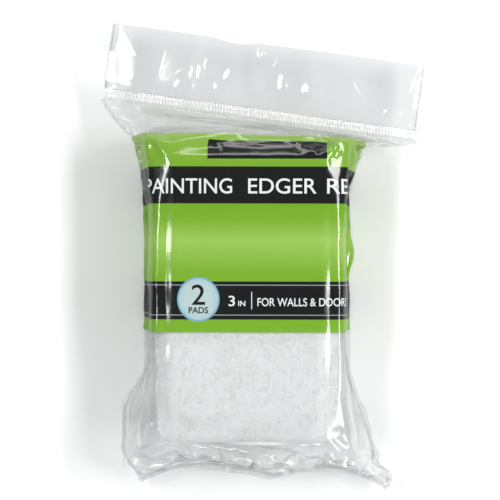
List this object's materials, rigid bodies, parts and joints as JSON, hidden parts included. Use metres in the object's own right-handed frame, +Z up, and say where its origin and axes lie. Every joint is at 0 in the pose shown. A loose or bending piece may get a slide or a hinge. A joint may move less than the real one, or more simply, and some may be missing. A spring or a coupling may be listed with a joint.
{
  "type": "paint edger refill pack",
  "caption": "Clear sealed header bag holding flat rectangular pile-faced paint edger refill pads, with a ribbed crimp seal and a film flap that folds at the seal.",
  "frame": {"origin": "middle of the underside of the whole pack, lying on its back", "axes": "+Y along the pads towards the header flap, +X across the pads, +Z up out of the printed front"},
  "size_m": [0.137, 0.1964, 0.0435],
  "materials": {
    "clear_film": "thin clear glossy film, printed green and black over the pads",
    "welded_film": "heat welded film, hazy where it is crimped",
    "white_pile": "dense short white fibre pile",
    "white_foam": "open-cell white foam",
    "white_plastic": "moulded white plastic"
  },
  "bodies": {
    "pouch": {"front_film_panel": "clear_film", "back_film_panel": "clear_film", "left_side_weld": "welded_film", "right_side_weld": "welded_film", "bottom_seal": "welded_film"},
    "header": {"crimp_seal": "welded_film", "header_front_ply": "clear_film", "header_back_ply": "clear_film", "header_left_weld": "welded_film", "header_right_weld": "welded_film"},
    "front_pad": {"front_pad_pile_fabric": "white_pile", "front_pad_foam_core": "white_foam", "front_pad_backing_plate": "white_plastic"},
    "rear_pad": {"rear_pad_pile_fabric": "white_pile", "rear_pad_foam_core": "white_foam", "rear_pad_backing_plate": "white_plastic"}
  },
  "joints": [
    {"name": "header_fold", "type": "hinge", "parent": "pouch", "child": "header", "pos_m": [-0.00144, 0.05731, 0.014], "axis": [0.9907, -0.1357, 0], "range_deg": [-24, 90], "stiffness_Nm_per_rad": 0.003},
    {"name": "front_pad_slide", "type": "slide", "parent": "pouch", "child": "front_pad", "axis": [0, 1, 0], "range_m": [-0.003, 0.0015]},
    {"name": "rear_pad_slide", "type": "slide", "parent": "pouch", "child": "rear_pad", "axis": [0, 1, 0], "range_m": [-0.003, 0.0015]}
  ]
}
